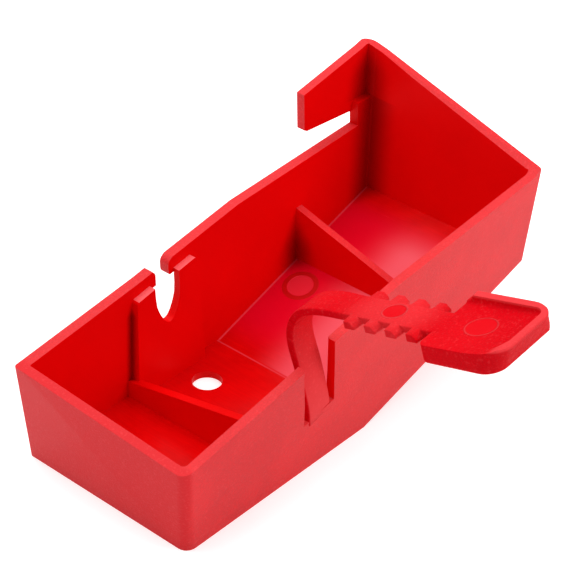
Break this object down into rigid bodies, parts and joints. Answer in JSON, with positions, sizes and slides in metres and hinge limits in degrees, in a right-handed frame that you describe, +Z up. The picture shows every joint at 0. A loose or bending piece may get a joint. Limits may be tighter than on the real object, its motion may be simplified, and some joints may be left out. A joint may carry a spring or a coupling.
{
  "type": "hook-in plastic tray with fold-over strap",
  "caption": "Open red plastic tray with a climbing floor, divider ribs, a hook over an open slot, a keyhole slot and a toothed strap with a finger pad that folds over the top.",
  "frame": {"origin": "middle of the bounding box in plan, at the height of the level half of the underside", "axes": "+X along the tray from its shallow end to its deep, climbing end; +Y from the wall that carries the strap to the wall with the slots; +Z up out of the open top"},
  "size_m": [0.1046, 0.09, 0.0533],
  "materials": {
    "tray_shell": "moulded, fine spark texture outside, glossier inside",
    "hook_arm": "moulded, fine spark texture",
    "low_divider": "moulded, smooth",
    "tall_divider": "moulded, smooth",
    "slot_plate": "moulded, smooth",
    "strap_root": "moulded, fine spark texture",
    "neck_link_1": "moulded, grainy spark texture",
    "neck_link_2": "moulded, grainy spark texture",
    "tooth_bar": "moulded, grainy spark texture",
    "finger_pad": "moulded, grainy spark texture"
  },
  "bodies": {
    "tray": {"tray_shell": "tray_shell", "hook_arm": "hook_arm", "low_divider": "low_divider", "tall_divider": "tall_divider", "slot_plate": "slot_plate", "strap_root": "strap_root"},
    "strap_link": {"neck_link_1": "neck_link_1"},
    "strap_end": {"neck_link_2": "neck_link_2", "tooth_bar": "tooth_bar", "finger_pad": "finger_pad"}
  },
  "joints": [
    {"name": "bend_1", "type": "hinge", "parent": "tray", "child": "strap_link", "pos_m": [-0.01617, 0.00381, 0.02634], "axis": [-0.9975, -0.0349, -0.061], "range_deg": [0, 80], "stiffness_Nm_per_rad": 0.1},
    {"name": "bend_2", "type": "hinge", "parent": "strap_link", "child": "strap_end", "pos_m": [-0.01677, -0.00178, 0.03928], "axis": [-0.9975, -0.0349, -0.061], "range_deg": [0, 88.05]}
  ],
  "couplings": [
    {"joint": "bend_2", "follows": "bend_1", "ratio": 1.1}
  ]
}
